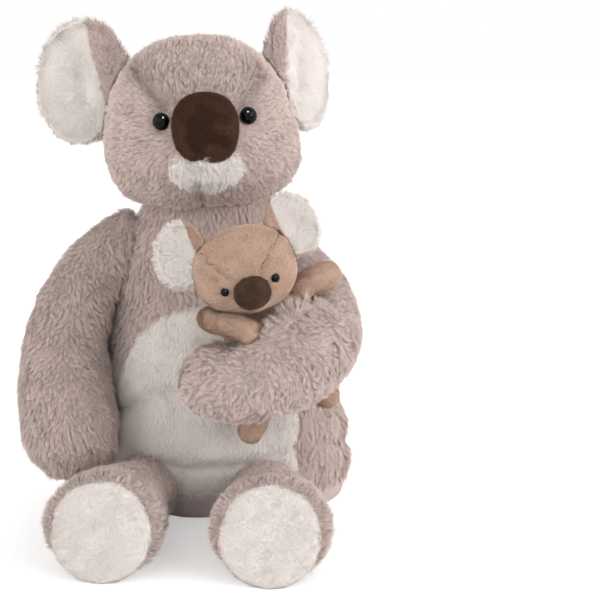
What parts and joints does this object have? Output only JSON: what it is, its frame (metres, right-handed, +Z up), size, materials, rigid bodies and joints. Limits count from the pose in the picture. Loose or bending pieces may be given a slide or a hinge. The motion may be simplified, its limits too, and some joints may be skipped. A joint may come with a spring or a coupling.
{
  "type": "cherry pit warmer",
  "caption": "Sitting plush koala that hugs a removable small koala, whose body holds a warming pouch of cherry pits.",
  "frame": {"origin": "middle of the flat seat, on the surface that the toy sits on", "axes": "+Z up, -Y the way the large koala faces, +X its left"},
  "size_m": [0.2401, 0.2505, 0.353],
  "materials": {
    "grey_fur": "long soft pile, matte",
    "white_fur": "soft pile, matte",
    "seat_fabric": "smooth short velour",
    "nose_velvet": "velvet",
    "tan_plush": "short soft plush",
    "cream_plush": "short soft plush",
    "taupe_velvet": "velvet",
    "black_button": "polished",
    "white_plastic": "satin",
    "fibre": "loose polyester fibre",
    "cotton": "plain cotton bag filled with cherry pits"
  },
  "bodies": {
    "torso": {"seat_base": "seat_fabric", "torso_cover": "grey_fur", "belly_panel": "white_fur", "torso_filling": "fibre"},
    "head": {"head_cover": "grey_fur", "head_filling": "fibre", "chin_patch": "white_fur", "nose": "nose_velvet", "eye_right": "black_button", "eye_left": "black_button", "eye_washer_right": "white_plastic", "eye_washer_left": "white_plastic"},
    "right_ear": {"ear_back_right": "grey_fur", "ear_front_right": "white_fur"},
    "left_ear": {"ear_back_left": "grey_fur", "ear_front_left": "white_fur"},
    "right_arm": {"arm_right": "grey_fur"},
    "left_arm": {"arm_left": "grey_fur"},
    "right_leg": {"leg_right": "grey_fur", "sole_right": "white_fur"},
    "left_leg": {"leg_left": "grey_fur", "sole_left": "white_fur"},
    "small_koala": {"cub_front_panel": "tan_plush", "cub_back_panel": "tan_plush", "cub_belly_patch": "cream_plush", "cherry_pit_pouch": "cotton"},
    "small_head": {"cub_head": "tan_plush", "cub_nose": "taupe_velvet", "cub_eye_right": "black_button", "cub_eye_left": "black_button", "cub_ear_back_right": "tan_plush", "cub_ear_front_right": "white_fur", "cub_ear_back_left": "tan_plush", "cub_ear_front_left": "white_fur"},
    "small_right_arm": {"cub_arm_right": "tan_plush"},
    "small_left_arm": {"cub_arm_left": "tan_plush"},
    "small_right_leg": {"cub_leg_right": "tan_plush"},
    "small_left_leg": {"cub_leg_left": "tan_plush"}
  },
  "joints": [
    {"name": "head_turn", "type": "hinge", "parent": "torso", "child": "head", "pos_m": [-0.004, -0.009, 0.219], "axis": [0, 0, 1], "range_deg": [-12, 12], "stiffness_Nm_per_rad": 1},
    {"name": "right_ear_fold", "type": "hinge", "parent": "head", "child": "right_ear", "pos_m": [-0.06509, -0.0126, 0.29743], "axis": [-0.163, -0.0258, -0.9863], "range_deg": [-10, 15], "stiffness_Nm_per_rad": 0.3},
    {"name": "left_ear_fold", "type": "hinge", "parent": "head", "child": "left_ear", "pos_m": [0.04532, 0.00489, 0.30427], "axis": [-0.2805, -0.0444, 0.9588], "range_deg": [-10, 15], "stiffness_Nm_per_rad": 0.3},
    {"name": "right_arm_swing", "type": "hinge", "parent": "torso", "child": "right_arm", "pos_m": [-0.066, -0.008, 0.19], "axis": [-1, 0, 0], "range_deg": [0, 40], "stiffness_Nm_per_rad": 1},
    {"name": "left_arm_open", "type": "hinge", "parent": "torso", "child": "left_arm", "pos_m": [0.066, -0.008, 0.19], "axis": [0, 0, 1], "range_deg": [0, 30], "stiffness_Nm_per_rad": 1},
    {"name": "right_leg_lower", "type": "hinge", "parent": "torso", "child": "right_leg", "pos_m": [-0.042, -0.056, 0.022], "axis": [-1, 0, 0], "range_deg": [-12, 0], "stiffness_Nm_per_rad": 1},
    {"name": "left_leg_lower", "type": "hinge", "parent": "torso", "child": "left_leg", "pos_m": [0.042, -0.056, 0.022], "axis": [-1, 0, 0], "range_deg": [-12, 0], "stiffness_Nm_per_rad": 1},
    {"name": "small_koala_lift", "type": "slide", "parent": "torso", "child": "small_koala", "axis": [-0.2488, -0.2756, 0.9285], "range_m": [0, 0.1], "deforming": ["cub_leg_right", "cub_leg_left"]},
    {"name": "small_head_turn", "type": "hinge", "parent": "small_koala", "child": "small_head", "pos_m": [0.041, -0.094, 0.17], "axis": [-0.2488, -0.2756, 0.9285], "range_deg": [-8, 8], "stiffness_Nm_per_rad": 0.3},
    {"name": "small_right_arm_open", "type": "hinge", "parent": "small_koala", "child": "small_right_arm", "pos_m": [0.02288, -0.09261, 0.15263], "axis": [0, 0, -1], "range_deg": [0, 15], "stiffness_Nm_per_rad": 0.1},
    {"name": "small_left_arm_raise", "type": "hinge", "parent": "small_koala", "child": "small_left_arm", "pos_m": [0.06488, -0.09317, 0.16588], "axis": [0.0713, -0.9613, -0.2662], "range_deg": [0, 15], "stiffness_Nm_per_rad": 0.1},
    {"name": "small_right_leg_swing", "type": "hinge", "parent": "small_koala", "child": "small_right_leg", "pos_m": [0.04618, -0.07333, 0.10429], "axis": [-0.9659, 0, -0.2588], "range_deg": [-6, 6], "stiffness_Nm_per_rad": 0.1},
    {"name": "small_left_leg_swing", "type": "hinge", "parent": "small_koala", "child": "small_left_leg", "pos_m": [0.06887, -0.07389, 0.11236], "axis": [-0.9659, 0, -0.2588], "range_deg": [-6, 0], "stiffness_Nm_per_rad": 0.1}
  ]
}
